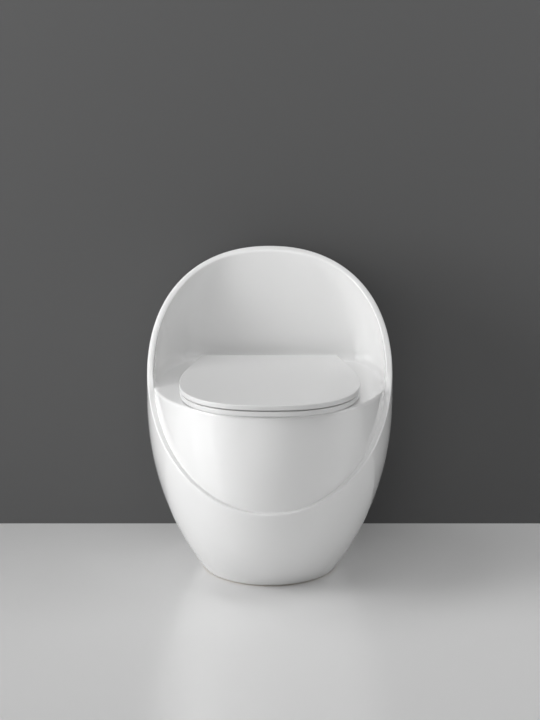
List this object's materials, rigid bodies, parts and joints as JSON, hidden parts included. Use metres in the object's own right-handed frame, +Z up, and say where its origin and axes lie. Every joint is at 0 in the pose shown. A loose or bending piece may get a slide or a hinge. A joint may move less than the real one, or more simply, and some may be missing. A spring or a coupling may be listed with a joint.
{
  "type": "siphonic toilet",
  "caption": "One-piece floor-standing siphonic toilet: egg-shaped glazed body cut by a sloping hooded rim, D-shaped seat and lid, dual-flush tank inside the hood.",
  "frame": {"origin": "on the floor, midway between the front of the lid and the back of the body, on the plane of symmetry", "axes": "+Z up, -Y towards the front of the bowl, +X to the right seen from the front"},
  "size_m": [0.513, 0.61, 0.6616],
  "materials": {
    "china": "smooth glossy white glaze",
    "seat_plastic": "smooth glossy white",
    "black_rubber": "matt",
    "pale_rubber": "matt",
    "white_plastic": "satin",
    "blue_plastic": "satin",
    "chrome": "polished",
    "steel": "bright zinc"
  },
  "bodies": {
    "body": {"hood": "china", "skirt_front": "china", "skirt_rear": "china", "deck": "china", "bowl": "china", "bowl_throat": "china", "bowl_sump": "china", "flush_duct": "china", "trapway_riser": "china", "trapway_leg": "china", "trapway_outlet": "china", "cistern": "china", "outlet_seal": "pale_rubber", "floor_bracket_left": "steel", "floor_bracket_right": "steel", "side_screw_left": "steel", "side_screw_right": "steel", "screw_cap_left": "seat_plastic", "screw_cap_right": "seat_plastic", "hinge_post_left": "chrome", "hinge_post_right": "chrome", "hinge_bolt_left": "steel", "hinge_bolt_right": "steel", "expansion_plug_left": "black_rubber", "expansion_plug_right": "black_rubber", "hinge_pin_left": "steel", "hinge_pin_right": "steel", "valve_bolt_left": "steel", "valve_bolt_right": "steel", "valve_nut_left": "steel", "valve_nut_right": "steel", "flush_valve_body": "white_plastic", "flush_valve_gasket": "black_rubber", "fill_valve_stem": "white_plastic", "fill_valve_cap": "blue_plastic", "fill_valve_washer": "black_rubber", "fill_valve_nut": "white_plastic", "refill_tube": "white_plastic", "flush_cable": "black_rubber"},
    "seat": {"seat_ring": "seat_plastic", "seat_damper": "black_rubber", "seat_bumper_1": "pale_rubber", "seat_bumper_2": "pale_rubber", "seat_bumper_3": "pale_rubber", "seat_bumper_4": "pale_rubber"},
    "lid": {"lid": "seat_plastic", "lid_damper": "black_rubber", "lid_bumper_1": "pale_rubber", "lid_bumper_2": "pale_rubber"},
    "tank_cover": {"tank_cover": "china", "button_bezel": "chrome", "button_nut": "white_plastic", "button_spring_full": "steel", "button_spring_half": "steel"},
    "full_flush_button": {"button_full": "chrome"},
    "half_flush_button": {"button_half": "chrome"},
    "flush_core": {"flush_core": "blue_plastic", "flush_seal": "black_rubber"},
    "float_cup": {"float_cup": "white_plastic"},
    "float_lever": {"float_lever": "blue_plastic"}
  },
  "joints": [
    {"name": "seat_hinge", "type": "hinge", "parent": "body", "child": "seat", "pos_m": [0, 0.122, 0.425], "axis": [-1, 0, 0], "range_deg": [0, 88]},
    {"name": "lid_hinge", "type": "hinge", "parent": "seat", "child": "lid", "pos_m": [0, 0.122, 0.425], "axis": [1, 0, 0], "range_deg": [-88, 0]},
    {"name": "tank_cover_lift", "type": "slide", "parent": "body", "child": "tank_cover", "axis": [0, 0, 1], "range_m": [0, 0.25]},
    {"name": "full_flush_press", "type": "slide", "parent": "tank_cover", "child": "full_flush_button", "axis": [0, -0.8126, -0.5828], "range_m": [0, 0.005], "stiffness_N_per_m": 400, "springref_m": -0.003, "deforming": ["button_spring_full"]},
    {"name": "half_flush_press", "type": "slide", "parent": "tank_cover", "child": "half_flush_button", "axis": [0, -0.8126, -0.5828], "range_m": [0, 0.005], "stiffness_N_per_m": 400, "springref_m": -0.003, "deforming": ["button_spring_half"]},
    {"name": "flush_core_lift", "type": "slide", "parent": "body", "child": "flush_core", "axis": [0, 0, 1], "range_m": [0, 0.026]},
    {"name": "float_travel", "type": "slide", "parent": "body", "child": "float_cup", "axis": [0, 0, 1], "range_m": [-0.008, 0]},
    {"name": "float_lever_swing", "type": "hinge", "parent": "body", "child": "float_lever", "pos_m": [0.072, 0.229, 0.5303], "axis": [0, 1, 0], "range_deg": [0, 22.92]}
  ],
  "couplings": [
    {"joint": "flush_core_lift", "follows": "full_flush_press", "ratio": 5.2},
    {"joint": "float_lever_swing", "follows": "float_travel", "rad_per_m": -50}
  ]
}
